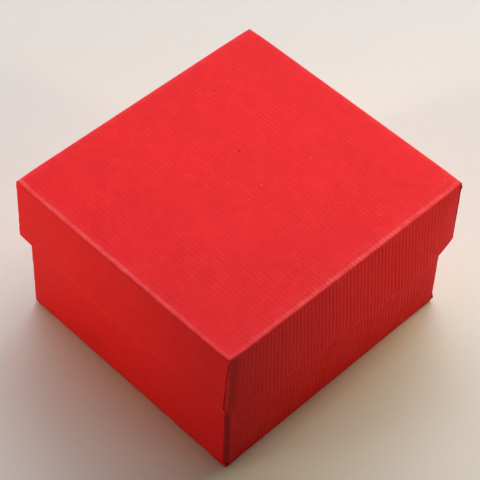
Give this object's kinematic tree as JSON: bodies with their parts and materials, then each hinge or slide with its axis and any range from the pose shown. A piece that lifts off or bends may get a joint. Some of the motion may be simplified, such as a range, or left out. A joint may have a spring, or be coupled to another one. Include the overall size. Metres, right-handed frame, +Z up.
{
  "type": "gift box",
  "caption": "Small rigid gift box with a lift-off lid, covered in ribbed red paper, with a loose cloth-covered pad on its floor.",
  "frame": {"origin": "centre of the underside of the base, on the surface it stands on", "axes": "+Z up, +Y along the longer side, +X across the shorter side"},
  "size_m": [0.0872, 0.0896, 0.052],
  "materials": {
    "red_ribbed_paper": "satin",
    "white_lining_paper": "matte",
    "stay_paper": "matte",
    "greyboard": "matte",
    "foam": "matte",
    "pad_cloth": "matte"
  },
  "bodies": {
    "base": {"base_bottom_board": "greyboard", "base_wall_board_front": "greyboard", "base_wall_board_right": "greyboard", "base_wall_board_back": "greyboard", "base_wall_board_left": "greyboard", "base_corner_stays": "stay_paper", "base_wrap": "red_ribbed_paper", "base_lining": "white_lining_paper"},
    "lid": {"lid_top_board": "greyboard", "lid_wall_board_front": "greyboard", "lid_wall_board_right": "greyboard", "lid_wall_board_back": "greyboard", "lid_wall_board_left": "greyboard", "lid_corner_stays": "stay_paper", "lid_wrap": "red_ribbed_paper", "lid_lining": "white_lining_paper"},
    "pad": {"pad_card": "greyboard", "pad_foam": "foam", "pad_cover": "pad_cloth"}
  },
  "joints": [
    {"name": "lid_lift", "type": "slide", "parent": "base", "child": "lid", "axis": [0, 0, 1], "range_m": [0, 0.09]},
    {"name": "pad_lift", "type": "slide", "parent": "base", "child": "pad", "axis": [0, 0, 1], "range_m": [0, 0.042]}
  ]
}
